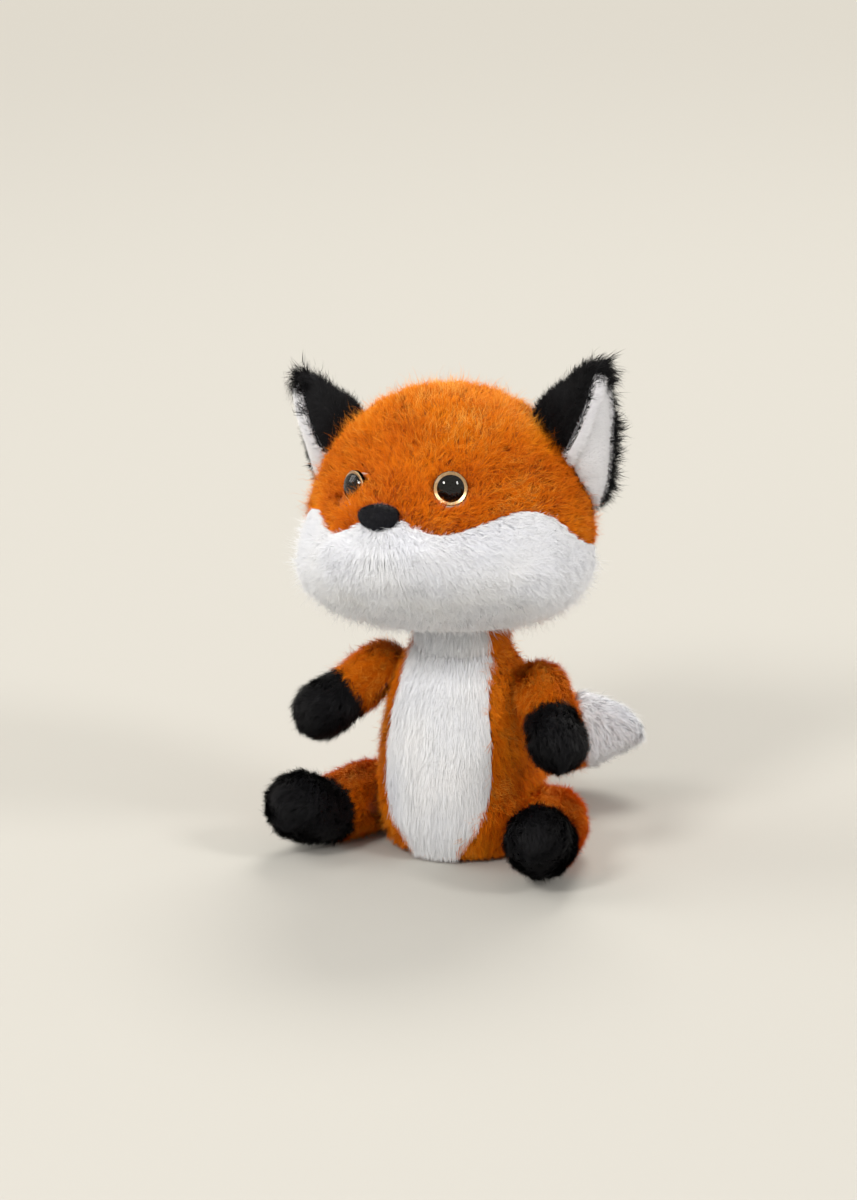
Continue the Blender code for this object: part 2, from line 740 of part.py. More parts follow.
def make_torso():
    outline = belly_outline()
    reach = TORSO_HALF_DEPTH + OVERRUN
    white_side = prism("belly_side", outline, -reach, 0)
    orange_side = prism("back_side", grown_outline(outline, GAP), -reach, GAP)
    floor = half_space("floor_plane", (0, 0, 0), (0, 0, -1))
    pieces = []
    for name, finish in (("back_cover", "orange plush"), ("belly_panel", "white plush")):
        skin = torso_form()
        highest = max(skin.verts, key=lambda vertex: vertex.co.z)
        bmesh.ops.delete(skin, geom=[highest], context="VERTS")
        cover = add_object(name, skin, finish)
        thicken(cover, LONG_PILE_WALL)
        pieces.append(cover)
    back, belly = pieces
    cut(back, floor, orange_side)
    keep(belly, white_side)
    cut(belly, floor)

    seat_hole = add_cutter(
        "seat_hole", cylinder_form(SEAT_RADIUS + GAP, OVERRUN + TORSO_HEIGHT, SEAT_SEGMENTS)
    )
    seat_hole.location.z = -TORSO_HEIGHT
    cut(back, seat_hole)
    add_object(
        "seat_panel",
        cylinder_form(SEAT_RADIUS, SEAT_PANEL_THICKNESS, SEAT_SEGMENTS),
        "orange plush",
    )

    filling = add_object(
        "torso_filling", inset(torso_form(), LONG_PILE_WALL + GAP), "stuffing"
    )
    base = SEAT_PANEL_THICKNESS + GAP
    cut(filling, half_space("filling_base", (0, 0, base), (0, 0, -1)))

    pouch_form = cylinder_form(POUCH_RADIUS, POUCH_HEIGHT, SEAT_SEGMENTS)
    pouch = add_object("pellet_pouch", pouch_form, "pouch cloth")
    pouch.location.z = base
    rounding = pouch.modifiers.new("edge", "BEVEL")
    rounding.width = POUCH_EDGE
    rounding.segments = 2
    rounding.limit_method = "ANGLE"
    room = cylinder_form(POUCH_RADIUS + GAP, POUCH_HEIGHT + GAP + OVERRUN, SEAT_SEGMENTS)
    pocket = add_cutter("pouch_pocket", room)
    pocket.location.z = base - OVERRUN
    cut(filling, pocket)
    return back, belly, filling


# Limbs
def body_side(tilt, side):
    """The flat where a limb lies on the torso: its outward normal and its distance."""
    normal = Vector((math.cos(tilt) * side, 0, math.sin(tilt)))
    form = torso_form()
    reach = max(vertex.co.dot(normal) for vertex in form.verts)
    form.free()
    return normal, reach - FACET_DEPTH


def limb_line(start, way, lift, bend, length):
    """A centre line that starts straight and then bends evenly towards lift."""

    def place(distance):
        if bend == 0:
            return start + way * distance, way
        radius = length / bend
        angle = bend * min(max(distance / length, 0), 1)
        beyond = distance - min(max(distance, 0), length)
        heading = way * math.cos(angle) + lift * math.sin(angle)
        middle = start + way * radius * math.sin(angle) + lift * radius * (1 - math.cos(angle))
        return middle + heading * beyond, heading

    return place


def limb_form(line, stations, radius, length, segments, rings, aside):
    """A swollen, tapering limb round a centre line, its first vertices turned to aside."""

    def shape(unit):
        share = polar_share(unit)
        turn = round_the_axis(unit)
        girth = radius * smooth_radius(stations, share)
        distance = length * share
        middle, heading = line(distance)
        across = aside - heading * aside.dot(heading)
        across.normalize()
        other = heading.cross(across)
        return middle + across * girth * turn.x - other * girth * turn.y

    form = sphere_form(segments, rings, shape)
    bmesh.ops.recalc_face_normals(form, faces=form.faces)
    form.normal_update()
    return form


def make_limb(names, joint, form_maker, plane, split, finishes):
    """Two covers and a filling, cut flat at the body's side and split where the paw starts."""
    plane_point, plane_normal = plane
    split_point, split_way = split
    inner_side = half_space(names[0] + "_side", plane_point, -plane_normal, joint)
    paw_side = half_space(names[0] + "_paw_side", split_point, split_way, joint)
    upper_side = half_space(
        names[0] + "_upper_side", split_point + split_way * GAP, -split_way, joint
    )
    made = []
    for name, finish, tool in zip(names, finishes, (paw_side, upper_side)):
        cover = add_object(name, form_maker(), finish, joint)
        thicken(cover, LONG_PILE_WALL)
        cut(cover, inner_side, tool)
        made.append(cover)
    filling = add_object(
        names[2], inset(form_maker(), LONG_PILE_WALL + GAP), "stuffing", joint
    )
    cut(filling, inner_side)
    return made


def make_arm(torso_pieces, side):
    word = "left" if side > 0 else "right"
    normal, distance = body_side(ARM_TILT, side)
    pivot = Vector((0, 0, ARM_HEIGHT))
    pivot.x = (distance - pivot.z * normal.z) / normal.x
    down = Vector((normal.z * side, 0, -abs(normal.x)))
    ahead = Vector((0, -1, 0))
    way = down * math.cos(ARM_SWING) + ahead * math.sin(ARM_SWING)
    start = normal * (ARM_STAND_OFF + GAP) - way * ARM_RADIUS
    way = way * math.cos(ARM_SPLAY) + normal * math.sin(ARM_SPLAY)
    line = limb_line(start, way, normal, 0, ARM_LENGTH)
    joint = add_joint(word + "_arm_joint", pivot)

    def arm_form():
        return limb_form(
            line, ARM_WIDTH_SHARES, ARM_RADIUS, ARM_LENGTH + ARM_RADIUS,
            LIMB_SEGMENTS, LIMB_RINGS, normal,
        )

    names = [word + "_arm_sleeve", word + "_arm_paw", word + "_arm_filling"]
    split_point, split_way = line(ARM_LENGTH * ARM_PAW_SHARE)
    make_limb(
        names, joint, arm_form, (normal * GAP, normal), (split_point, split_way),
        ("orange plush", "black plush"),
    )
    facet = half_space(word + "_shoulder_facet", pivot, normal)
    for piece in torso_pieces:
        cut(piece, facet)


def make_leg(torso_pieces, side):
    word = "left" if side > 0 else "right"
    normal, distance = body_side(LEG_TILT, side)
    pivot = Vector((0, LEG_AHEAD, LEG_RADIUS + SEAT_CLEARANCE))
    pivot.x = (distance - pivot.z * normal.z) / normal.x
    ahead = Vector((0, -1, 0))
    outward = Vector((side, 0, 0))
    way = ahead * math.cos(LEG_SPLAY) + outward * math.sin(LEG_SPLAY)
    start = outward * (LEG_STAND_OFF + GAP) - ahead * LEG_RADIUS
    upward = Vector((0, 0, 1))
    line = limb_line(start, way, upward, 0, LEG_LENGTH)
    joint = add_joint(word + "_leg_joint", pivot)

    def bent(distance):
        """The leg runs straight to the ankle, where the foot turns up."""
        ankle = LEG_LENGTH * LEG_PAW_SHARE
        if distance <= ankle:
            return line(distance)
        foot = LEG_LENGTH - ankle
        turned_up = limb_line(line(ankle)[0], way, upward, LEG_TOE_LIFT, foot)
        return turned_up(distance - ankle)

    def leg_form():
        return limb_form(
            bent, LEG_WIDTH_SHARES, LEG_RADIUS, LEG_LENGTH + LEG_RADIUS,
            LIMB_SEGMENTS, LIMB_RINGS, outward,
        )

    names = [word + "_leg_cover", word + "_leg_paw", word + "_leg_filling"]
    split_point, split_way = line(LEG_LENGTH * LEG_PAW_SHARE)
    make_limb(
        names, joint, leg_form, (normal * GAP, normal), (split_point, split_way),
        ("orange plush", "black plush"),
    )
    facet = half_space(word + "_hip_facet", pivot, normal)
    for piece in torso_pieces:
        cut(piece, facet)


# Tail
def make_tail(torso_pieces):
    pivot = Vector((0, TORSO_HALF_DEPTH - TAIL_ROOT_SINK, TAIL_ROOT_HEIGHT))
    joint = add_joint("tail_joint", pivot)
    behind = Vector((0, math.cos(TAIL_LIFT), math.sin(TAIL_LIFT)))
    leftward = Vector((1, 0, 0))
    start = -behind * TAIL_ROOT_RADIUS
    straight = limb_line(start, behind, leftward, 0, TAIL_STRAIGHT)
    curled = limb_line(
        straight(TAIL_STRAIGHT)[0], behind, leftward, TAIL_CURL, TAIL_LENGTH - TAIL_STRAIGHT
    )

    def line(distance):
        """The tail leaves the seat straight and then curls round."""
        if distance <= TAIL_STRAIGHT:
            return straight(distance)
        return curled(distance - TAIL_STRAIGHT)

    def tail_form():
        return limb_form(
            line, TAIL_WIDTH_SHARES, TAIL_RADIUS, TAIL_LENGTH,
            TAIL_SEGMENTS, TAIL_RINGS, Vector((0, 0, 1)),
        )

    split_point, split_way = line(TAIL_LENGTH * TAIL_TIP_SHARE)
    tip_side = half_space("tail_tip_side", split_point, split_way, joint)
    root_side = half_space(
        "tail_root_side", split_point + split_way * GAP, -split_way, joint
    )
    for name, finish, tool in (
        ("tail_cover", "orange plush", tip_side),
        ("tail_tip", "white plush", root_side),
    ):
        skin = tail_form()
        root = min(skin.verts, key=lambda vertex: vertex.co.y)
        bmesh.ops.delete(skin, geom=[root], context="VERTS")
        cover = add_object(name, skin, finish, joint)
        thicken(cover, LONG_PILE_WALL)
        cut(cover, tool)
    add_object("tail_filling", inset(tail_form(), LONG_PILE_WALL + GAP), "stuffing", joint)

    seat = add_cutter(
        "tail_seat",
        sphere_form(NECK_SEGMENTS, NECK_RINGS, neck_shape(TAIL_ROOT_RADIUS + SEAT_CLEARANCE)),
        joint,
    )
    for piece in torso_pieces:
        cut(piece, seat)


for leftover in list(bpy.data.objects):
    bpy.data.objects.remove(leftover)
parts = fresh_collection("plush fox")
cutters = fresh_collection("cutters")

back_cover, belly_panel, torso_filling = make_torso()
torso_covers = (back_cover, belly_panel, torso_filling)

neck_joint = add_joint("neck_joint", (0, 0, NECK_HEIGHT))
head_joint = add_joint("head_joint", (0, 0, 0), (-HEAD_PITCH, -HEAD_ROLL, 0), neck_joint)
head_middle = add_joint(
    "head_middle", (0, -HEAD_AHEAD_OF_NECK, HEAD_ABOVE_NECK), parent=head_joint
)
crown_cover, muzzle_panel, head_filling = make_head(head_middle)
make_nose(head_middle, crown_cover, muzzle_panel, head_filling)
for way_round in (1, -1):
    make_eye(head_middle, crown_cover, head_filling, way_round)
    make_ear(head_middle, way_round)
    make_arm(torso_covers, way_round)
    make_leg(torso_covers, way_round)
make_tail(torso_covers)
make_neck(neck_joint, (crown_cover, muzzle_panel, head_filling) + torso_covers)
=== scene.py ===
"""Looks of the plush fox: soft skins, stuffing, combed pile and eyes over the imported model.

Metres, in the part's own frame: +Z up, the fox faces -Y and its left side is +X. Each cover of the
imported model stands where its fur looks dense. Here it becomes a thinner skin, set in from that
surface, and the strands of its pile grow from the skin to the surface and a little past it.
"""

import json
import math

import bmesh
import bpy
import numpy as np
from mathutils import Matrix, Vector
from mathutils.bvhtree import BVHTree
from mathutils.kdtree import KDTree


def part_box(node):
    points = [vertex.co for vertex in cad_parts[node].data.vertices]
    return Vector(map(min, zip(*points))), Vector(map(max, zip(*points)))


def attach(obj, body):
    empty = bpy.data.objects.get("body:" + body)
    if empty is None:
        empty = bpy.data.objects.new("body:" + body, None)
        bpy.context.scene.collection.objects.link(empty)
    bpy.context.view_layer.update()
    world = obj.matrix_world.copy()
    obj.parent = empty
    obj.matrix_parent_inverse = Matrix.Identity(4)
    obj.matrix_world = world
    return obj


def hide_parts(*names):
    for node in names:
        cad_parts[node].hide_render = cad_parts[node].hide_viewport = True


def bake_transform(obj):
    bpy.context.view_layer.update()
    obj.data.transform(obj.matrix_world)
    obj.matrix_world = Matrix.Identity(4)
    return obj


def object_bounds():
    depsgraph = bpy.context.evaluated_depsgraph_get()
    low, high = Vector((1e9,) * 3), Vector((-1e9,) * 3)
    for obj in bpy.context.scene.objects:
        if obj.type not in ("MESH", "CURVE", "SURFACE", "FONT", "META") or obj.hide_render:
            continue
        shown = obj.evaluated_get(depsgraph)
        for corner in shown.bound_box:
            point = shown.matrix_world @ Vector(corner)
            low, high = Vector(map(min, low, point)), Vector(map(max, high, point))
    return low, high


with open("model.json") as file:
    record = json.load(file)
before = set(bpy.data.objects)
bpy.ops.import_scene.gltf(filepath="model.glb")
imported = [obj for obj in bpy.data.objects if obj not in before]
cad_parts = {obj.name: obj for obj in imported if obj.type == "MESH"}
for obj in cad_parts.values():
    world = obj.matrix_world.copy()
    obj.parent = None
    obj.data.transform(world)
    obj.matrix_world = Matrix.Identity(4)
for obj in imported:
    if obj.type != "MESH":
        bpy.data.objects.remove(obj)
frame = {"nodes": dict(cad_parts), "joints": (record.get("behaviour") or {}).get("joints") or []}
cad_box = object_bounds()

# Covers: how thick they are, and where their skins lie under the dense surface
WALL = 0.0060
TIP_WALL = 0.0043
OUTER_SHARE = 0.75
OUTER_FACING = 0.5
SKIN_DEPTH = 0.0035
WHITE_DEPTH = 0.0022

# Eyes, repeated from the model
EYE_RADIUS = 0.0080
EYE_DOME_HEIGHT = 0.0042
EYE_BACKING = 0.0014

# Arrays from meshes
MICROMETRES = 1e6
TINY = 1e-12


def mesh_arrays(node):
    """A node's vertices and triangles."""
    mesh = frame["nodes"][node].data
    mesh.calc_loop_triangles()
    points = np.empty(len(mesh.vertices) * 3)
    mesh.vertices.foreach_get("co", points)
    corners = np.empty(len(mesh.loop_triangles) * 3, dtype=np.int32)
    mesh.loop_triangles.foreach_get("vertices", corners)
    return welded(points.reshape(-1, 3), corners.reshape(-1, 3))


def welded(points, faces):
    """The same surface with one vertex at each place."""
    keys = np.round(points * MICROMETRES).astype(np.int64)
    _, first, place = np.unique(keys, axis=0, return_index=True, return_inverse=True)
    return points[first], place.reshape(-1)[faces]


def unit(vectors):
    lengths = np.linalg.norm(vectors, axis=-1, keepdims=True)
    return vectors / np.maximum(lengths, TINY)


def tree_of(*nodes):
    """One search tree over the surfaces of several nodes."""
    points = []
    faces = []
    for node in nodes:
        more, corners = mesh_arrays(node)
        faces.extend((corners + len(points)).tolist())
        points.extend(more.tolist())
    return BVHTree.FromPolygons(points, faces)


def nearest(tree, points):
    """For each point, the closest place on a tree and its distance."""
    found = [tree.find_nearest(Vector(point)) for point in points]
    places = np.array([hit[0] for hit in found])
    return places, np.linalg.norm(points - places, axis=1)


def face_normals(points, faces):
    corners = points[faces]
    return np.cross(corners[:, 1] - corners[:, 0], corners[:, 2] - corners[:, 0])


def wall_of(node):
    """How thick a cover is at least; the tail's filling comes closer to its tip."""
    return TIP_WALL if node == "tail_tip" else WALL


def outer_faces(points, faces, core, wall):
    """The faces that look away from a core and lie a wall's thickness off it."""
    centres = points[faces].mean(axis=1)
    places, distances = nearest(core, centres)
    away = unit(centres - places)
    facing = (unit(face_normals(points, faces)) * away).sum(axis=1)
    return faces[(distances > OUTER_SHARE * wall) & (facing > OUTER_FACING)]


def vertex_normals(points, faces):
    """Smooth normals of some faces of a surface."""
    normals = np.zeros_like(points)
    across = face_normals(points, faces)
    for corner in range(3):
        np.add.at(normals, faces[:, corner], across)
    return unit(normals)


# Noise
WAVES = 7
WAVE_RANGE = (0.7, 1.5)


def ripple(points, wavelength, seed):
    """A smooth random field of about unit strength."""
    rng = np.random.default_rng(seed)
    total = np.zeros(len(points))
    for _ in range(WAVES):
        way = unit(rng.normal(size=3)) * 2 * math.pi / wavelength * rng.uniform(*WAVE_RANGE)
        total += np.sin(points @ way + rng.uniform(0, 2 * math.pi))
    return total / math.sqrt(WAVES / 2)


# Materials
CLOTH_ROUGHNESS = 0.9
CLOTH_SHEEN = 0.2
CLOTH_DETAIL = 6
THREAD_HEIGHT = 0.0006


def new_material(name, roughness, sheen=0.0, gloss=0.5):
    made = bpy.data.materials.new(name)
    made.use_nodes = True
    shader = made.node_tree.nodes["Principled BSDF"]
    shader.inputs["Roughness"].default_value = roughness
    shader.inputs["Sheen Weight"].default_value = sheen
    shader.inputs["Specular IOR Level"].default_value = gloss
    return made, made.node_tree, shader


def ramp(tree, source, stops):
    """A colour ramp with its stops given as places and colours."""
    node = tree.nodes.new("ShaderNodeValToRGB")
    elements = node.color_ramp.elements
    while len(elements) < len(stops):
        elements.new(0.5)
    for element, (place, colour) in zip(elements, stops):
        element.position = place
        element.color = (*colour, 1)
    tree.links.new(source, node.inputs["Fac"])
    return node.outputs["Color"]


def multiply(tree, first, second):
    node = tree.nodes.new("ShaderNodeMix")
    node.data_type = "RGBA"
    node.blend_type = "MULTIPLY"
    node.inputs["Factor"].default_value = 1
    tree.links.new(first, node.inputs["A"])
    tree.links.new(second, node.inputs["B"])
    return node.outputs["Result"]


def pile_material(name, tints, painted_root_shade, roughness=0.6, sheen=0.0, gloss=0.15):
    """Strands: the map's U picks a strand's tint, and its V runs from root to tip along a painted
    shade that darkens each strand towards its root, deep in the pile.
    """
    made, tree, shader = new_material(name, roughness, sheen, gloss)
    shader.inputs["Sheen Tint"].default_value = (*tints[-1][1], 1)
    uv = tree.nodes.new("ShaderNodeUVMap")
    uv.uv_map = "OFBake"
    split = tree.nodes.new("ShaderNodeSeparateXYZ")
    tree.links.new(uv.outputs["UV"], split.inputs["Vector"])
    tint = ramp(tree, split.outputs["X"], tints)
    shade = ramp(tree, split.outputs["Y"], painted_root_shade)
    tree.links.new(multiply(tree, tint, shade), shader.inputs["Base Color"])
    return made


def grain(tree, shader, dark, light, scale, detail):
    """Two colours mixed by fine noise that is fixed to the object, which it gives back."""
    place = tree.nodes.new("ShaderNodeTexCoord")
    noise = tree.nodes.new("ShaderNodeTexNoise")
    noise.inputs["Scale"].default_value = scale
    noise.inputs["Detail"].default_value = detail
    tree.links.new(place.outputs["Object"], noise.inputs["Vector"])
    colour = ramp(tree, noise.outputs["Fac"], ((0.3, dark), (0.7, light)))
    tree.links.new(colour, shader.inputs["Base Color"])
    return noise.outputs["Fac"]


def cloth_material(name, dark, light, scale, bump=0.4):
    """Backing cloth or wadding: fine noise in colour and height."""
    made, tree, shader = new_material(name, CLOTH_ROUGHNESS, CLOTH_SHEEN)
    noise = grain(tree, shader, dark, light, scale, CLOTH_DETAIL)
    height = tree.nodes.new("ShaderNodeBump")
    height.inputs["Strength"].default_value = bump
    height.inputs["Distance"].default_value = THREAD_HEIGHT
    tree.links.new(noise, height.inputs["Height"])
    tree.links.new(height.outputs["Normal"], shader.inputs["Normal"])
    return made


ORANGE_TINTS = (
    (0.0, (0.50, 0.089, 0.001)),
    (0.35, (0.70, 0.150, 0.001)),
    (0.65, (0.82, 0.208, 0.002)),
    (1.0, (0.95, 0.325, 0.010)),
)
# The fuzz is a paler, yellower copy of the orange: painted light shining through its fine hairs
FUZZ_PAINTED_GLOW_TINTS = ((0.0, (0.78, 0.17, 0.003)), (0.5, (0.90, 0.29, 0.012)), (1.0, (1.0, 0.52, 0.090)))
WHITE_TINTS = (
    (0.0, (0.90, 0.92, 0.97)),
    (0.5, (0.94, 0.955, 0.98)),
    (1.0, (0.97, 0.97, 0.98)),
)
# Black tints: the brightest few strands are a painted sheen
BLACK_TINTS_AND_PAINTED_SHEEN = (
    (0.0, (0.002, 0.002, 0.003)),
    (0.7, (0.007, 0.007, 0.009)),
    (1.0, (0.030, 0.030, 0.032)),
)
NOSE_TINTS = ((0.0, (0.003, 0.003, 0.005)), (1.0, (0.026, 0.027, 0.036)))
LINING_TINTS = ((0.0, (0.82, 0.82, 0.85)), (1.0, (0.96, 0.96, 0.97)))
# Painted shade: strands darken towards their roots, deep in the pile, strongly in orange and
# faintly in the rest
STRONG_PAINTED_ROOT_SHADE = ((0.0, (0.52, 0.32, 0.22)), (0.45, (0.86, 0.70, 0.60)), (1.0, (1, 1, 1)))
FAINT_PAINTED_ROOT_SHADE = ((0.0, (0.93, 0.93, 0.95)), (0.5, (0.98, 0.98, 0.985)), (1.0, (1, 1, 1)))

orange_pile = pile_material("orange pile", ORANGE_TINTS, STRONG_PAINTED_ROOT_SHADE, sheen=0.35, gloss=0.06)
orange_fuzz = pile_material("orange fuzz", FUZZ_PAINTED_GLOW_TINTS, STRONG_PAINTED_ROOT_SHADE, sheen=0.35, gloss=0.06)
white_pile = pile_material("white pile", WHITE_TINTS, FAINT_PAINTED_ROOT_SHADE)
black_pile = pile_material("black pile", BLACK_TINTS_AND_PAINTED_SHEEN, FAINT_PAINTED_ROOT_SHADE)
nose_pile = pile_material("nose pile", NOSE_TINTS, FAINT_PAINTED_ROOT_SHADE)
lining_pile = pile_material("lining pile", LINING_TINTS, FAINT_PAINTED_ROOT_SHADE, 0.8)
orange_cloth = cloth_material("orange cloth", (0.46, 0.095, 0.003), (0.60, 0.140, 0.006), 900)
white_cloth = cloth_material("white cloth", (0.90, 0.91, 0.94), (0.95, 0.95, 0.96), 900)
black_cloth = cloth_material("black cloth", (0.004, 0.004, 0.005), (0.010, 0.010, 0.012), 900)
lining_cloth = cloth_material("lining cloth", (0.72, 0.72, 0.74), (0.86, 0.86, 0.87), 1100)
wadding = cloth_material("polyester wadding", (0.72, 0.72, 0.70), (0.90, 0.90, 0.88), 260, 1.0)
pouch_cloth = cloth_material("pouch cloth", (0.50, 0.46, 0.38), (0.66, 0.61, 0.53), 1500)


# Pieces
SMOOTHING = 0.5
ROUNDS = 2
FEW_ROUNDS = 1
LUMP = 0.0006
LUMP_SPAN = 0.02
LUMP_SEED = 5


def put(name, mesh, body):
    """A mesh's object, which rides on a body, or on none if none is given."""
    made = bpy.data.objects.new(name, mesh)
    bpy.context.scene.collection.objects.link(made)
    if body:
        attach(made, body)
    return made


def soften(piece, rounds):
    finer = piece.modifiers.new("finer", "SUBSURF")
    finer.subdivision_type = "SIMPLE"
    finer.levels = 1
    finer.render_levels = 1
    smooth = piece.modifiers.new("smooth", "SMOOTH")
    smooth.factor = SMOOTHING
    smooth.iterations = rounds


def stand_in(node, surface, look, body, rounds, ending="_skin"):
    """A soft piece in a solid's place, finer and smoothed for some rounds."""
    points, faces = surface
    mesh = bpy.data.meshes.new(node + ending)
    mesh.from_pydata(points.tolist(), [], faces.tolist())
    mesh.materials.append(look)
    mesh.shade_smooth()
    piece = put(node + ending, mesh, body)
    if rounds:
        soften(piece, rounds)
    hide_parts(node)
    return piece


def settled(piece):
    """Apply a piece's modifiers to its mesh."""
    evaluated = piece.evaluated_get(bpy.context.evaluated_depsgraph_get())
    mesh = bpy.data.meshes.new_from_object(evaluated)
    piece.modifiers.clear()
    piece.data = mesh
    return piece


def add_skin(node, core, body, look, depth=SKIN_DEPTH):
    """The cover's backing cloth: its outer side is set in, and the rest stays where it is."""
    points, faces = mesh_arrays(node)
    wall = wall_of(node)
    outer = np.unique(outer_faces(points, faces, core, wall))
    places, distances = nearest(core, points[outer])
    away = unit(points[outer] - places)
    points[outer] -= away * np.clip(distances - (wall - depth), 0, depth)[:, None]
    return stand_in(node, (points, faces), look, body, ROUNDS)


def add_wadding(node, body, look=wadding):
    """Stuffing, a little lumpy, in the space of its solid."""
    points, faces = mesh_arrays(node)
    normals = vertex_normals(points, faces)
    points -= normals * (LUMP * np.abs(ripple(points, LUMP_SPAN, LUMP_SEED)))[:, None]
    stand_in(node, (points, faces), look, body, ROUNDS, "_wadding")


# Pile: limits of its reach
PROUD = 0.0070
FLOOR_CLEARANCE = 0.0002

# How strands turn, rise and lie, with their clumps and alone
CLUMP_TURN = 0.9
STRAND_TURN = 0.4
MEAN_LEVEL = 0.25
TUFT_SHARE = 0.6
LEAST_HEIGHT = 0.45
MOST_RISE = 2.2
STRAY_SHARE = 0.08
STRAY_RISE = (0.4, 1.4)
STRAY_THINNING = 0.4
REACH_RANGE = (0.75, 1.15)
WIDTH_RANGE = (0.7, 1.3)
TILT_RANGE = (-0.4, 0.4)
GRIP_RANGE = (0.4, 1.0)
CLUMP_WIDTH = 0.35

# A strand's points: a pair at the root, a pair at the bend, and the tip
STRAND_POINTS = 5
STRAND_FACES = np.array(((0, 1, 3), (0, 3, 2), (2, 3, 4)), dtype=np.int32)
ROOT_DEPTH = 1.02
BEND_RISE = 0.74
BEND_REACH = 0.34
BEND_PULL = 0.2
BEND_PLACE = 0.52
MAP_EDGE = 0.02

# How strands' tints vary
TINT_MIDDLE = 0.5
TINT_RIPPLE = 0.16
TINT_SPAN = 0.035
TINT_SPREAD = 0.10


class Pelt:
    """Strands' roots on a surface: places on the dense outer side, and smooth normals."""

    def __init__(self, points, faces, count, seed):
        self.rng = np.random.default_rng(seed)
        self.seed = seed
        normals = vertex_normals(points, faces)
        areas = np.linalg.norm(face_normals(points, faces), axis=1)
        chosen = self.rng.choice(len(faces), size=count, p=areas / areas.sum())
        spread = np.sqrt(self.rng.random(count))
        second = self.rng.random(count)
        weights = np.stack((1 - spread, spread * (1 - second), spread * second), axis=1)
        corners = faces[chosen]
        self.places = (points[corners] * weights[:, :, None]).sum(axis=1)
        self.normals = unit((normals[corners] * weights[:, :, None]).sum(axis=1))

    def keep(self, wanted):
        self.places = self.places[wanted]
        self.normals = self.normals[wanted]


def flattened(ways, normals):
    """The parts of directions that lie along a surface, as unit vectors."""
    return unit(ways - normals * (ways * normals).sum(axis=1)[:, None])


def turned(ways, normals, angles):
    """Directions along a surface, turned about its normals."""
    return ways * np.cos(angles)[:, None] + np.cross(normals, ways) * np.sin(angles)[:, None]


def clumps_of(places, size):
    """For each strand, the strand that leads its clump."""
    leaders = np.arange(0, len(places), size)
    tree = KDTree(len(leaders))
    for leader in leaders:
        tree.insert(Vector(places[leader]), int(leader))
    tree.balance()
    return np.array([tree.find(Vector(place))[1] for place in places])


def grow(name, pelt, comb, look, body, slot, length, rise, width, depth=SKIN_DEPTH, clump=9,
         gather=0.25, unrest=0.35, scale=1.0, uneven=0.35, curl=0.022, lend=0.75, painted_light=0.0):
    """A pile of strands.

    comb gives each strand's lean. scale may be given strand by strand, and so may the painted
    light and shade that is added to their tints. gather draws clumps together, unrest turns their
    strands, uneven varies how high they rise, and lend is how far they take on the surface's
    normals."""
    rng = pelt.rng
    places = pelt.places
    normals = pelt.normals
    count = len(places)
    leader = clumps_of(places, clump)
    wander = CLUMP_TURN * unrest * ripple(places, curl, pelt.seed + 1)
    wander += CLUMP_TURN * unrest * rng.normal(size=count)[leader]
    wander += STRAND_TURN * unrest * rng.normal(size=count)
    ways = turned(flattened(comb, normals), normals, wander)

    tuft_rise = rng.normal(size=count)[leader]
    level = MEAN_LEVEL + TUFT_SHARE * uneven * tuft_rise + uneven * rng.normal(size=count)
    height = depth + rise * scale * level
    height = np.clip(height, LEAST_HEIGHT * depth, depth + MOST_RISE * rise)
    stray = rng.random(count) < STRAY_SHARE
    height = height + stray * rise * scale * rng.uniform(*STRAY_RISE, count)
    reach = length * scale * rng.uniform(*REACH_RANGE, count)
    roots = places - normals * (depth * ROOT_DEPTH)
    tips = roots + normals * height[:, None] + ways * reach[:, None]
    pulled = tips[leader] + (roots - roots[leader]) * CLUMP_WIDTH
    grip = (gather * rng.uniform(*GRIP_RANGE, count))[:, None]
    tips = tips + (pulled - tips) * grip
    bends = roots + normals * (BEND_RISE * height)[:, None] + ways * (BEND_REACH * reach)[:, None]
    bends = bends + (pulled - tips) * grip * BEND_PULL

    along = unit(tips - roots)
    flat = unit(np.cross(along, normals))
    tilt = rng.uniform(*TILT_RANGE, count)
    across = flat * np.cos(tilt)[:, None] + np.cross(along, flat) * np.sin(tilt)[:, None]
    breadth = width / 2 * rng.uniform(*WIDTH_RANGE, count) * (1 - STRAY_THINNING * stray)
    half = breadth[:, None] * across
    stations = np.stack((roots - half, roots + half, bends - half, bends + half, tips), axis=1)
    low, high = (np.array(corner) for corner in cad_box)
    stations = np.clip(stations, low - PROUD, high + PROUD)
    stations[:, :, 2] = np.maximum(stations[:, :, 2], FLOOR_CLEARANCE)

    facing = unit(normals * lend + np.cross(across, along) * (1 - lend))
    tint = TINT_MIDDLE + painted_light + TINT_RIPPLE * ripple(places, TINT_SPAN, pelt.seed + 2)
    tint += TINT_SPREAD * rng.normal(size=count)[leader] + TINT_SPREAD * rng.normal(size=count)
    tint = np.clip(tint, MAP_EDGE, 1 - MAP_EDGE)
    return add_strands(name, stations, facing, tint, look, body)


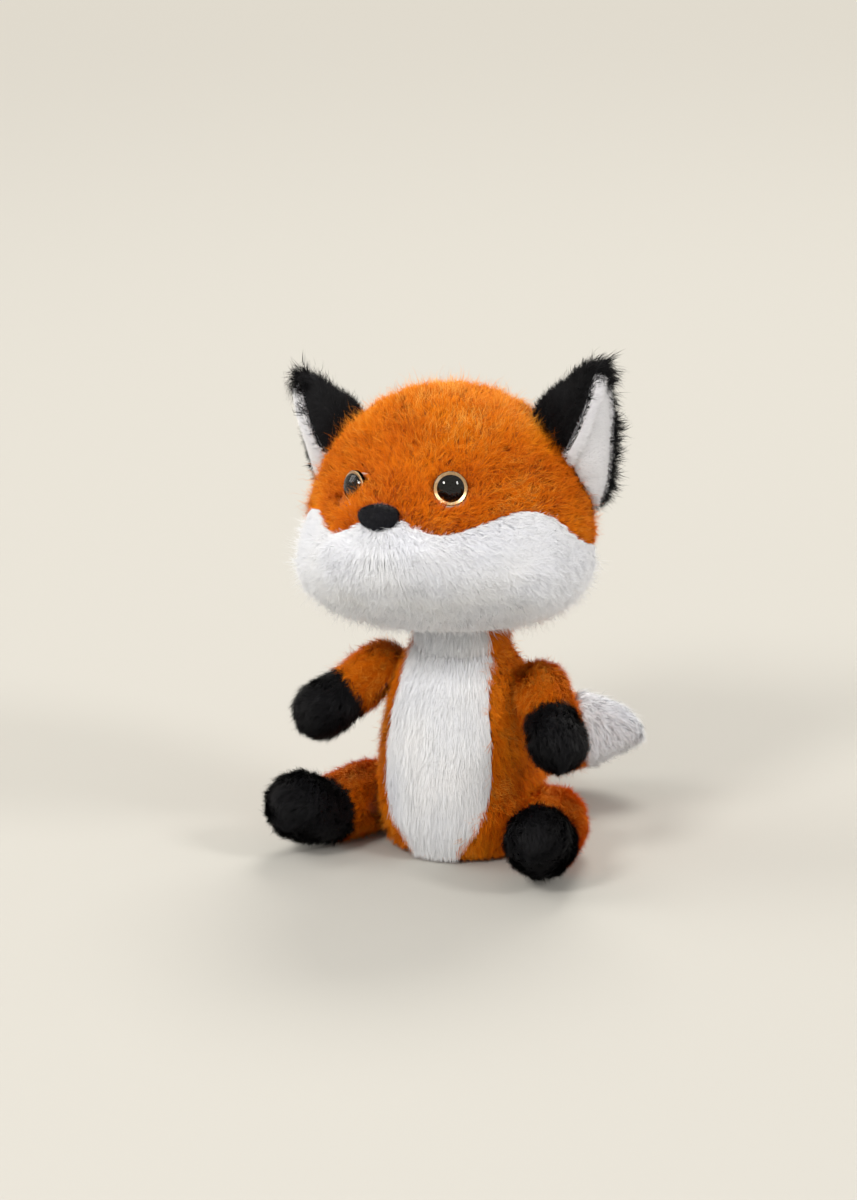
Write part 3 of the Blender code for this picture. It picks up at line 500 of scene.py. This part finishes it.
def add_strands(name, stations, facing, tint, look, body):
    """One mesh of ribbons, with normals lent by the surface."""
    count = len(stations)
    firsts = STRAND_POINTS * np.arange(count, dtype=np.int32)
    faces = (STRAND_FACES[None] + firsts[:, None, None]).reshape(-1)
    mesh = bpy.data.meshes.new(name)
    mesh.vertices.add(STRAND_POINTS * count)
    mesh.vertices.foreach_set("co", stations.astype(np.float32).reshape(-1))
    mesh.loops.add(len(faces))
    mesh.loops.foreach_set("vertex_index", faces)
    mesh.polygons.add(len(faces) // 3)
    mesh.polygons.foreach_set("loop_start", np.arange(0, len(faces), 3, dtype=np.int32))
    uv = mesh.uv_layers.new(name="OFBake")
    run = np.array((MAP_EDGE, MAP_EDGE, BEND_PLACE, BEND_PLACE, 1 - MAP_EDGE))
    corners = np.stack((np.repeat(tint, STRAND_POINTS), np.tile(run, count)), axis=1)[faces]
    uv.data.foreach_set("uv", corners.astype(np.float32).reshape(-1))
    mesh.materials.append(look)
    mesh.update(calc_edges=True)
    mesh.shade_smooth()
    mesh.normals_split_custom_set_from_vertices(np.repeat(facing, STRAND_POINTS, axis=0))
    return put(name, mesh, body)


def middle_of(node):
    low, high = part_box(node)
    return np.array((low + high) / 2)


def cover_pelt(node, core, count, seed):
    points, faces = mesh_arrays(node)
    return Pelt(points, outer_faces(points, faces, core, wall_of(node)), count, seed)


# Head
NOSE = middle_of("nose_pad")
EYES = [middle_of(side + "_eye_lens") for side in ("left", "right")]
EYE_CLEARING = 0.0060
EYE_TRIM = 0.65
BRIDGE_CLEARING = 0.0200
LIP_CLEARING = 0.0080
NOSE_TRIM = 0.5
SEAM_CLEARING = 0.0070
SEAM_TRIM = 0.35
NOSE_DROOP = 0.01
# Painted light and shade on the head's pile: paler above this height, darker below it
PAINTED_LIGHT_START = 0.198
PAINTED_LIGHT_SPAN = 0.022
PAINTED_LIGHT_LOW = -0.18
PAINTED_LIGHT_HIGH = 0.20
ORANGE_LENGTH = 0.0046
ORANGE_RISE = 0.0022
STRAND_WIDTH = 0.00024
CURLY = {"length": ORANGE_LENGTH, "rise": ORANGE_RISE, "width": STRAND_WIDTH, "clump": 8,
         "gather": 0.30, "unrest": 0.75, "curl": 0.011}
FLEECE = {"length": 0.0085, "rise": 0.0014, "width": 0.00030, "depth": WHITE_DEPTH,
          "clump": 3, "gather": 0.02, "unrest": 0.08, "uneven": 0.06, "lend": 1.0}
FUZZ = {"length": 0.0062, "rise": 0.0048, "width": 0.00012, "clump": 3, "gather": 0.2,
        "unrest": 0.8}


def clear_the_eyes(places, ways):
    """Strands near an eye lean away from it and are shorter."""
    scale = np.ones(len(places))
    for eye in EYES:
        off = places - eye
        distance = np.linalg.norm(off, axis=1)
        near = np.clip(1 - (distance - EYE_RADIUS) / EYE_CLEARING, 0, 1)[:, None]
        ways = ways * (1 - near) + unit(off) * near
        scale = scale * (1 - EYE_TRIM * near[:, 0])
    return ways, scale


def head_comb(places, hang, clearing, seam):
    """The pile runs back from the nose, where it is shorter, as it is beside the seam."""
    ways = unit(places - NOSE) + np.array((0, 0, -hang))
    ways, scale = clear_the_eyes(places, ways)
    scale = scale * np.clip(np.linalg.norm(places - NOSE, axis=1) / clearing, NOSE_TRIM, 1)
    _, distances = nearest(seam, places)
    return ways, scale * np.clip(distances / SEAM_CLEARING, SEAM_TRIM, 1)


def crown_painted_light(places):
    """Painted light and shade: the pile is paler at the top of the head and darker below it."""
    share = np.clip((places[:, 2] - PAINTED_LIGHT_START) / PAINTED_LIGHT_SPAN, 0, 1)
    return PAINTED_LIGHT_LOW + (PAINTED_LIGHT_HIGH - PAINTED_LIGHT_LOW) * share


def dress_head():
    core = tree_of("head_filling")
    add_skin("crown_cover", core, "head", orange_cloth)
    add_skin("muzzle_panel", core, "head", white_cloth, WHITE_DEPTH)
    add_wadding("head_filling", "head")
    seams = {"crown_cover": tree_of("muzzle_panel"), "muzzle_panel": tree_of("crown_cover")}
    for name, node, pile, count, seed, hang, clearing, settings in (
        ("crown_pile", "crown_cover", orange_pile, 66000, 11, -0.1, BRIDGE_CLEARING, CURLY),
        ("muzzle_pile", "muzzle_panel", white_pile, 66000, 12, 0.5, LIP_CLEARING, FLEECE),
        ("crown_fuzz", "crown_cover", orange_fuzz, 36000, 13, -0.1, BRIDGE_CLEARING, FUZZ),
        ("muzzle_fuzz", "muzzle_panel", white_pile, 36000, 14, 0.5, LIP_CLEARING, FUZZ),
    ):
        pelt = cover_pelt(node, core, count, seed)
        ways, scale = head_comb(pelt.places, hang, clearing, seams[node])
        grow(name, pelt, ways, pile, "head", node, scale=scale, painted_light=crown_painted_light(pelt.places),
             **settings)


def dress_nose():
    points, faces = mesh_arrays("nose_pad")
    stand_in("nose_pad", (points, faces), black_cloth, "head", FEW_ROUNDS)
    pelt = Pelt(points, faces, 20000, 21)
    ways = pelt.places - NOSE + np.array((0, 0, -NOSE_DROOP))
    grow("nose_pile", pelt, ways, nose_pile, "head", "nose_pad", length=0.0014, rise=0.0010,
         width=0.00014, depth=0.0004, clump=6, unrest=0.5)


# Ears: the back's pile fans out to the edge and grows longer there and at the tip
EAR_BOW = 0.0030
EAR_REACH = 0.0110
EAR_OVERLAP = 0.0070
EAR_DEPTH = 0.0008
BACK_FAN = 1.3
BACK_LIFT = 0.7
BACK_SCALE = 0.8
EDGE_GAIN = 0.6
TIP_GAIN = 0.5

# The fringe stands along the edge and the tip, and is thin in one place
FRINGE_COUNT = 90000
FRINGE_FACING = 0.3
FRINGE_LIFT = 0.5
BARE_LEVEL = 0.77
BARE_SPAN = 0.09
BARE_SHARE = 0.75

# The lining steps down at its crease, and the pile beside it is short
LINING_REACH = 0.0090
LINING_FAN = (-0.2, 1.2)
LINING_CLEARANCE = 0.0005
LINING_TRIM = 0.0060
LEAST_TRIM = 0.45
CREASE_PLACE = 0.0050
CREASE_WIDTH = 0.0006
CREASE_RISE = 0.0018


def joint_named(name):
    return next(joint for joint in frame["joints"] if joint["name"] == name)


class EarMap:
    """Places on an ear: how high above its foot, and how far outside the middle line."""

    def __init__(self, side):
        joint = joint_named(side + "_ear_sway")
        self.foot = np.array(joint["pos_m"])
        self.along = unit(np.array(joint["axis"]))
        points, _ = mesh_arrays(side + "_ear_back")
        tip = max(points - self.foot, key=np.linalg.norm)
        self.lean = tip @ self.along
        self.upright = unit(tip - self.along * self.lean)
        self.height = tip @ self.upright

    def read(self, places):
        off = places - self.foot
        level = off @ self.upright / self.height
        bow = EAR_BOW * np.sin(math.pi * np.clip(level, 0, 1))
        return level, off @ self.along - self.lean * level - bow


def fold(pelt, outside):
    """Raise the lining inside its crease, so that the crease shows as a soft step."""
    fall = np.tanh((outside - CREASE_PLACE) / CREASE_WIDTH)
    pelt.places = pelt.places + pelt.normals * (CREASE_RISE / 2 * (1 - fall))[:, None]
    return CREASE_RISE / 2 * (1 - fall**2) / CREASE_WIDTH


def off_the_lining(pelt, patch):
    """Keep the strands that are clear of a lining, and say how far off it they are."""
    _, distances = nearest(patch, pelt.places)
    clear = distances > LINING_CLEARANCE
    pelt.keep(clear)
    return distances[clear]


def dress_ear_back(body, ear):
    back = body + "_back"
    patch = tree_of(body + "_lining")
    points, faces = mesh_arrays(back)
    stand_in(back, (points, faces), black_cloth, body, ROUNDS)
    pelt = Pelt(points, faces, 44000, 31)
    off = off_the_lining(pelt, patch)
    level, outside = ear.read(pelt.places)
    sideways = np.clip((outside + EAR_OVERLAP) / EAR_REACH, -1, 1)
    ways = ear.along * (BACK_FAN * sideways[:, None]) + ear.upright * BACK_LIFT
    scale = BACK_SCALE + EDGE_GAIN * np.clip(sideways, 0, 1)
    scale += TIP_GAIN * np.clip(level * 2 - 1, 0, 1)
    trim = np.clip(off / LINING_TRIM, LEAST_TRIM, 1)
    scale = scale * np.where(outside < CREASE_PLACE, trim, 1)
    grow(back + "_pile", pelt, ways, black_pile, body, back, length=0.0046, rise=0.0036,
         width=0.00020, depth=EAR_DEPTH, clump=8, gather=0.2, scale=scale, uneven=0.45)

    pelt = Pelt(points, faces, FRINGE_COUNT, 35)
    pelt.keep(np.maximum(pelt.normals @ ear.along, pelt.normals @ ear.upright) > FRINGE_FACING)
    off_the_lining(pelt, patch)
    level, _ = ear.read(pelt.places)
    scale = 1 - BARE_SHARE * np.exp(-((level - BARE_LEVEL) / BARE_SPAN) ** 2)
    ways = np.tile(ear.along + ear.upright * FRINGE_LIFT, (len(pelt.places), 1))
    grow(body + "_fringe", pelt, ways, black_pile, body, back, length=0.0078, rise=0.0056,
         width=0.00022, depth=EAR_DEPTH, clump=14, gather=0.75, unrest=0.8, uneven=0.7,
         scale=scale)


def dress_lining(body, ear):
    lining = body + "_lining"
    points, faces = mesh_arrays(lining)
    stand_in(lining, (points, faces), lining_cloth, body, FEW_ROUNDS)
    pelt = Pelt(points, faces, 30000, 41)
    _, outside = ear.read(pelt.places)
    slope = fold(pelt, outside)
    pelt.normals = unit(pelt.normals + ear.along * slope[:, None])
    sideways = np.clip(outside / LINING_REACH, *LINING_FAN)
    ways = ear.upright + ear.along * sideways[:, None]
    grow(lining + "_pile", pelt, ways, lining_pile, body, lining, length=0.0024, rise=0.0010,
         width=0.00016, depth=0.0003, clump=8, gather=0.15, lend=0.9)


def dress_ear(side):
    ear = EarMap(side)
    dress_ear_back(side + "_ear", ear)
    dress_lining(side + "_ear", ear)


# Eyes
PUPIL_SHARE = 0.74
DISH_DEPTH = 0.0003
DOME_LIFT = 0.0003
DOME_STEPS = 12
RIM_INSET = 0.0002
PAINT = 0.0001
PAINT_GRAIN = 1800
PAINT_DETAIL = 2
PAINT_SHADE = 0.8
EYE_SEGMENTS = 48
SHARP_ANGLE = math.radians(35)

# The shank's outline, as radius and height
SHANK = [(0.0022, 0), (0.0022, -0.0105), (0.0018, -0.0110), (0, -0.0110)]


def clear_material():
    """Clear plastic that lets lamps through to what is painted behind it."""
    made, tree, shader = new_material("clear plastic", 0.03)
    shader.inputs["Base Color"].default_value = (1, 0.99, 0.97, 1)
    shader.inputs["Transmission Weight"].default_value = 1
    shader.inputs["IOR"].default_value = 1.42
    output = tree.nodes["Material Output"]
    path = tree.nodes.new("ShaderNodeLightPath")
    through = tree.nodes.new("ShaderNodeBsdfTransparent")
    mix = tree.nodes.new("ShaderNodeMixShader")
    tree.links.new(path.outputs["Is Shadow Ray"], mix.inputs["Fac"])
    tree.links.new(shader.outputs["BSDF"], mix.inputs[1])
    tree.links.new(through.outputs["BSDF"], mix.inputs[2])
    tree.links.new(mix.outputs["Shader"], output.inputs["Surface"])
    return made


def paint(name, colour, roughness, metallic=0.0, gloss=0.5):
    made, tree, shader = new_material(name, roughness, gloss=gloss)
    dark = tuple(PAINT_SHADE * part for part in colour)
    grain(tree, shader, dark, colour, PAINT_GRAIN, PAINT_DETAIL)
    shader.inputs["Metallic"].default_value = metallic
    return made


clear_plastic = clear_material()
gold_paint = paint("gold paint", (0.96, 0.74, 0.44), 0.32, 0.85)
black_plastic = paint("black plastic", (0.002, 0.002, 0.002), 0.6, gloss=0.0)
washer_plastic = paint("washer plastic", (0.80, 0.80, 0.78), 0.45)


def spun(name, profile, look, axes):
    """A profile of radius and height, turned round an eye's axis."""
    origin, across, facing = axes
    form = bmesh.new()
    ring = [
        form.verts.new(origin + across * radius + facing * height) for radius, height in profile
    ]
    edges = [form.edges.new(pair) for pair in zip(ring, ring[1:])]
    bmesh.ops.spin(form, geom=ring + edges, cent=origin, axis=facing, angle=2 * math.pi,
                   steps=EYE_SEGMENTS, use_merge=True)
    bmesh.ops.remove_doubles(form, verts=form.verts, dist=1e-7)
    bmesh.ops.recalc_face_normals(form, faces=form.faces)
    mesh = bpy.data.meshes.new(name)
    form.to_mesh(mesh)
    form.free()
    mesh.materials.append(look)
    mesh.shade_smooth()
    mesh.set_sharp_from_angle(angle=SHARP_ANGLE)
    return put(name, mesh, "head")


def eye_frame(side):
    """The middle of the backing's underside, and the eye's axes, read from its washer."""
    points, _ = mesh_arrays(side + "_eye_washer")
    centre = points.mean(axis=0)
    _, _, rows = np.linalg.svd(points - centre)
    facing = rows[2] if rows[2][1] < 0 else -rows[2]
    points, _ = mesh_arrays(side + "_eye_button")
    heights = (points - centre) @ facing
    origin = Vector(centre + facing * (heights.max() - EYE_BACKING))
    facing = Vector(facing)
    return origin, facing.orthogonal().normalized(), facing


def dress_eye(side):
    """A dome over a shallow gilt dish with a black middle."""
    axes = eye_frame(side)
    lens_node = side + "_eye_lens"
    button_node = side + "_eye_button"
    base = EYE_BACKING + DOME_LIFT
    top = base + EYE_DOME_HEIGHT
    pupil = PUPIL_SHARE * EYE_RADIUS
    rim = EYE_RADIUS - RIM_INSET
    dish = EYE_BACKING - DISH_DEPTH
    sphere = (EYE_RADIUS**2 + EYE_DOME_HEIGHT**2) / (2 * EYE_DOME_HEIGHT)
    half_angle = math.asin(EYE_RADIUS / sphere)
    dome = [(0, top)]
    for step in range(1, DOME_STEPS + 1):
        angle = half_angle * step / DOME_STEPS
        dome.append((sphere * math.sin(angle), top - sphere * (1 - math.cos(angle))))
    dome += [(rim, base), (pupil, dish), (0, dish)]
    lens = spun(side + "_eye_dome", dome, clear_plastic, axes)
    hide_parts(lens_node)
    ring = [
        (rim, base - PAINT),
        (rim, base + PAINT),
        (pupil, dish + 2 * PAINT),
        (pupil, dish),
        (rim, base - PAINT),
    ]
    spun(side + "_eye_iris", ring, gold_paint, axes)
    backing = [
        (0, dish + PAINT),
        (pupil, dish + PAINT),
        (pupil + PAINT, dish),
        (rim, base - 2 * PAINT),
        (EYE_RADIUS, EYE_BACKING),
        (EYE_RADIUS, 0),
    ]
    button = spun(side + "_eye_back", backing + SHANK, black_plastic, axes)
    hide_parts(button_node)
    frame["nodes"][side + "_eye_washer"].material_slots[0].material = washer_plastic


# Body, limbs and tail
FUZZ_SHARE = 0.5
FUZZ_RISE = 0.0030
NECK_BAND = 0.0110
DOWN_LIFT = 0.1
LIMB_DROOP = 0.3
TAIL_TURN = 1.1
TIP_DROOP = 1.0


def down_comb(places, normals):
    return np.tile((0.0, 0.0, -1.0), (len(places), 1)) + normals * DOWN_LIFT


def dress_cover(node, core, body, cloth, pile, count, seed, comb, band=None, **options):
    """A skin and its pile; white pile is fleecy, and orange pile has fuzz over it."""
    def pelt_of(count, seed):
        pelt = cover_pelt(node, core, count, seed)
        if band:
            middle, reach = band
            pelt.keep(np.abs(pelt.places[:, 2] - middle) < reach)
        return pelt

    pelt = pelt_of(count, seed)
    settings = dict(length=ORANGE_LENGTH, rise=ORANGE_RISE, width=STRAND_WIDTH, depth=SKIN_DEPTH)
    settings.update(FLEECE if pile is white_pile else {})
    settings.update(options)
    pieces = [add_skin(node, core, body, cloth, settings["depth"])]
    ways = comb(pelt.places, pelt.normals)
    pieces.append(grow(node + "_pile", pelt, ways, pile, body, node, **settings))
    if pile is orange_pile:
        pelt = pelt_of(int(count * FUZZ_SHARE), seed + 4)
        ways = comb(pelt.places, pelt.normals)
        settings = FUZZ | {"rise": FUZZ_RISE}
        pieces.append(grow(node + "_fuzz", pelt, ways, orange_fuzz, body, node, **settings))
    return pieces


def dress_torso():
    core = tree_of("torso_filling")
    dress_cover("back_cover", core, "torso", orange_cloth, orange_pile, 60000, 51, down_comb)
    dress_cover("belly_panel", core, "torso", white_cloth, white_pile, 26000, 52, down_comb)
    add_wadding("torso_filling", "torso")
    add_wadding("pellet_pouch", "torso", pouch_cloth)
    stand_in("seat_panel", mesh_arrays("seat_panel"), orange_cloth, "torso", 0)


def dress_neck():
    """The neck's fabric is sewn to the torso; its pieces are settled in place and ride on no body.
    """
    core = tree_of("neck_filling")
    add_wadding("neck_filling", "neck")
    middle = middle_of("neck_filling")[2]
    for node, cloth, pile, count in (
        ("neck_cover", orange_cloth, orange_pile, 30000),
        ("neck_front", white_cloth, white_pile, 18000),
    ):
        pieces = dress_cover(node, core, None, cloth, pile, count, 61, down_comb,
                             band=(middle, NECK_BAND), length=0.0085, rise=0.0036)
        for piece in pieces:
            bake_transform(settled(piece))


def dress_limb(body, parts, paw_count, count, seed):
    """The pile runs from the seam at the body towards the paw."""
    cover, paw = parts
    core = tree_of(body + "_filling")
    way = unit(middle_of(body + "_" + paw) - middle_of(body + "_" + cover))

    def comb(places, normals):
        return np.tile(way, (len(places), 1)) + np.array((0, 0, -LIMB_DROOP))

    dress_cover(body + "_" + cover, core, body, orange_cloth, orange_pile, count, seed, comb,
                length=0.0065)
    dress_cover(body + "_" + paw, core, body, black_cloth, black_pile, paw_count, seed + 1,
                comb, length=0.0055, rise=0.0020)
    add_wadding(body + "_filling", body)


def dress_tail():
    core = tree_of("tail_filling")
    root = np.array(joint_named("tail_wag")["pos_m"])
    tip = middle_of("tail_tip")

    def comb(places, normals):
        share = np.clip(np.linalg.norm(places - root, axis=1) / np.linalg.norm(tip - root), 0, 1)
        return np.stack((share, TAIL_TURN - share, -TIP_DROOP * share**3), axis=1)

    dress_cover("tail_cover", core, "tail", orange_cloth, orange_pile, 30000, 71, comb)
    dress_cover("tail_tip", core, "tail", white_cloth, white_pile, 22000, 72, comb,
                length=0.0065, rise=0.0030, uneven=0.3, unrest=0.3, clump=8, gather=0.2,
                lend=0.85)
    add_wadding("tail_filling", "tail")


dress_head()
dress_nose()
for side in ("left", "right"):
    dress_ear(side)
    dress_eye(side)
    dress_limb(side + "_arm", ("sleeve", "paw"), 15000, 12000, 81)
    dress_limb(side + "_leg", ("cover", "paw"), 20000, 18000, 91)
dress_torso()
dress_neck()
dress_tail()


# Stage
STAGE_REACH = 6.0
FADE_START = 1.0
FADE_END = 2.8
PAPER_ROUGHNESS = 0.9
PAPER = (0.522, 0.511, 0.472, 1)
PALE = (0.772, 0.724, 0.630, 1)
LIGHT = (1.0, 0.97, 0.93, 1)
LIGHT_STRENGTH = 0.55
SEEN_BY = ("Is Camera Ray", "Is Glossy Ray", "Is Transmission Ray")

# Camera, fitted to the photograph's frame
PHOTO_HEIGHT = 1200
AZIMUTH = 24
ELEVATION = 17
CAMERA_DISTANCE = 2.5
PIXELS_PER_METRE = 2100
SENSOR = 36
CLIP_END = 50
AIM = Vector((-0.0134, -0.0090, 0.1225))

# Each lamp's azimuth, elevation, distance, size, power and colour
LAMPS = {
    "left key": (-12, 38, 3.4, 0.9, 55, (1.0, 0.97, 0.93)),
    "right key": (81, 33, 3.4, 0.9, 38, (1.0, 0.97, 0.95)),
    "side": (-70, 35, 3.2, 2.0, 30, (1.0, 0.97, 0.93)),
    "rim": (190, 50, 3.0, 1.4, 46, (1.0, 0.96, 0.90)),
}


def seen_share(tree):
    """One for the rays that see the background, nought for the rest."""
    path = tree.nodes.new("ShaderNodeLightPath")
    share = path.outputs[SEEN_BY[0]]
    for kind in SEEN_BY[1:]:
        either = tree.nodes.new("ShaderNodeMath")
        either.operation = "MAXIMUM"
        tree.links.new(share, either.inputs[0])
        tree.links.new(path.outputs[kind], either.inputs[1])
        share = either.outputs["Value"]
    return share


def stage_material():
    """Warm paper that fades into the pale background away from the object."""
    made, tree, shader = new_material("warm paper", PAPER_ROUGHNESS)
    shader.inputs["Base Color"].default_value = PAPER
    output = tree.nodes["Material Output"]
    place = tree.nodes.new("ShaderNodeTexCoord")
    reach = tree.nodes.new("ShaderNodeVectorMath")
    reach.operation = "LENGTH"
    fade = tree.nodes.new("ShaderNodeMapRange")
    fade.interpolation_type = "SMOOTHSTEP"
    fade.inputs["From Min"].default_value = FADE_START
    fade.inputs["From Max"].default_value = FADE_END
    share = tree.nodes.new("ShaderNodeMath")
    share.operation = "MULTIPLY"
    glow = tree.nodes.new("ShaderNodeEmission")
    glow.inputs["Color"].default_value = PALE
    mix = tree.nodes.new("ShaderNodeMixShader")
    seen = seen_share(tree)
    tree.links.new(place.outputs["Object"], reach.inputs[0])
    tree.links.new(reach.outputs["Value"], fade.inputs["Value"])
    tree.links.new(fade.outputs["Result"], share.inputs[0])
    tree.links.new(seen, share.inputs[1])
    tree.links.new(share.outputs["Value"], mix.inputs["Fac"])
    tree.links.new(shader.outputs["BSDF"], mix.inputs[1])
    tree.links.new(glow.outputs["Emission"], mix.inputs[2])
    tree.links.new(mix.outputs["Shader"], output.inputs["Surface"])
    return made


def add_stage():
    """A wide floor, which ends where the background has taken over."""
    form = bmesh.new()
    bmesh.ops.create_grid(form, x_segments=1, y_segments=1, size=STAGE_REACH)
    mesh = bpy.data.meshes.new("stage")
    form.to_mesh(mesh)
    form.free()
    mesh.materials.append(stage_material())
    made = bpy.data.objects.new("stage", mesh)
    bpy.context.scene.collection.objects.link(made)


def direction(azimuth, elevation):
    """Towards a place given in degrees round the fox and up from its front."""
    azimuth = math.radians(azimuth)
    elevation = math.radians(elevation)
    return Vector((
        math.sin(azimuth) * math.cos(elevation),
        -math.cos(azimuth) * math.cos(elevation),
        math.sin(elevation),
    ))


def add_lamp(name, azimuth, elevation, distance, size, power, colour):
    data = bpy.data.lights.new(name, "AREA")
    data.shape = "DISK"
    data.size = size
    data.energy = power
    data.color = colour
    lamp = bpy.data.objects.new(name, data)
    way = direction(azimuth, elevation)
    lamp.location = AIM + way * distance
    lamp.rotation_euler = way.to_track_quat("Z", "Y").to_euler()
    bpy.context.scene.collection.objects.link(lamp)


def add_camera():
    data = bpy.data.cameras.new("camera")
    data.sensor_width = SENSOR
    data.lens = PIXELS_PER_METRE * CAMERA_DISTANCE * SENSOR / PHOTO_HEIGHT
    data.clip_end = CLIP_END
    camera = bpy.data.objects.new("camera", data)
    way = direction(AZIMUTH, ELEVATION)
    camera.location = AIM + way * CAMERA_DISTANCE
    camera.rotation_euler = way.to_track_quat("Z", "Y").to_euler()
    bpy.context.scene.collection.objects.link(camera)
    bpy.context.scene.camera = camera


def add_world():
    """Even light all round, and the pale background where it is seen."""
    world = bpy.data.worlds.new("studio")
    world.use_nodes = True
    tree = world.node_tree
    light = tree.nodes["Background"]
    light.inputs["Color"].default_value = LIGHT
    light.inputs["Strength"].default_value = LIGHT_STRENGTH
    pale = tree.nodes.new("ShaderNodeBackground")
    pale.inputs["Color"].default_value = PALE
    mix = tree.nodes.new("ShaderNodeMixShader")
    seen = seen_share(tree)
    tree.links.new(seen, mix.inputs["Fac"])
    tree.links.new(light.outputs["Background"], mix.inputs[1])
    tree.links.new(pale.outputs["Background"], mix.inputs[2])
    tree.links.new(mix.outputs["Shader"], tree.nodes["World Output"].inputs["Surface"])
    bpy.context.scene.world = world


add_stage()
add_world()
add_camera()
for name, settings in LAMPS.items():
    add_lamp(name, *settings)
bpy.context.scene.view_settings.view_transform = "Standard"
